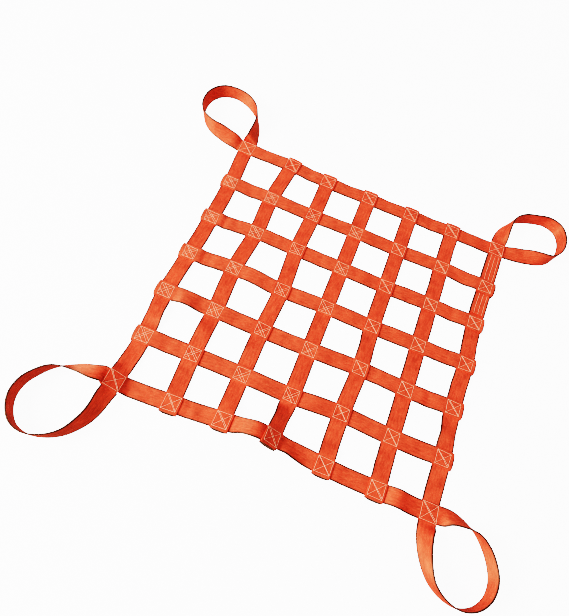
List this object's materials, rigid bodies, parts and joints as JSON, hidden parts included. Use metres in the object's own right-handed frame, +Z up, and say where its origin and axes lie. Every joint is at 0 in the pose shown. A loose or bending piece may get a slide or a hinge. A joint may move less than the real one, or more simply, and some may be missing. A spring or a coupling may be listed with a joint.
{
  "type": "cargo lifting net",
  "caption": "Square cargo lifting net of flat webbing straps sewn where they cross, with a lifting loop at each corner, laid out on the floor.",
  "frame": {"origin": "on the floor, under the middle crossing of the straps", "axes": "+X along the rows to the right, +Y along the columns to the far side, +Z up from the floor"},
  "size_m": [1.3437, 1.3297, 0.0565],
  "materials": {
    "webbing": "woven polyester webbing, orange, matt with a slight sheen"
  },
  "bodies": {
    "root": {"edge_far": "webbing", "edge_near": "webbing", "edge_left": "webbing", "edge_right": "webbing", "splice_ply": "webbing", "row_strap_1": "webbing", "row_strap_2": "webbing", "row_strap_3": "webbing", "row_strap_4": "webbing", "row_strap_5": "webbing", "column_strap_1": "webbing", "column_strap_2": "webbing", "column_strap_3": "webbing", "column_strap_4": "webbing", "column_strap_5": "webbing", "loop_far_left": "webbing", "loop_far_right": "webbing", "loop_near_left": "webbing", "loop_near_right": "webbing"}
  },
  "joints": []
}
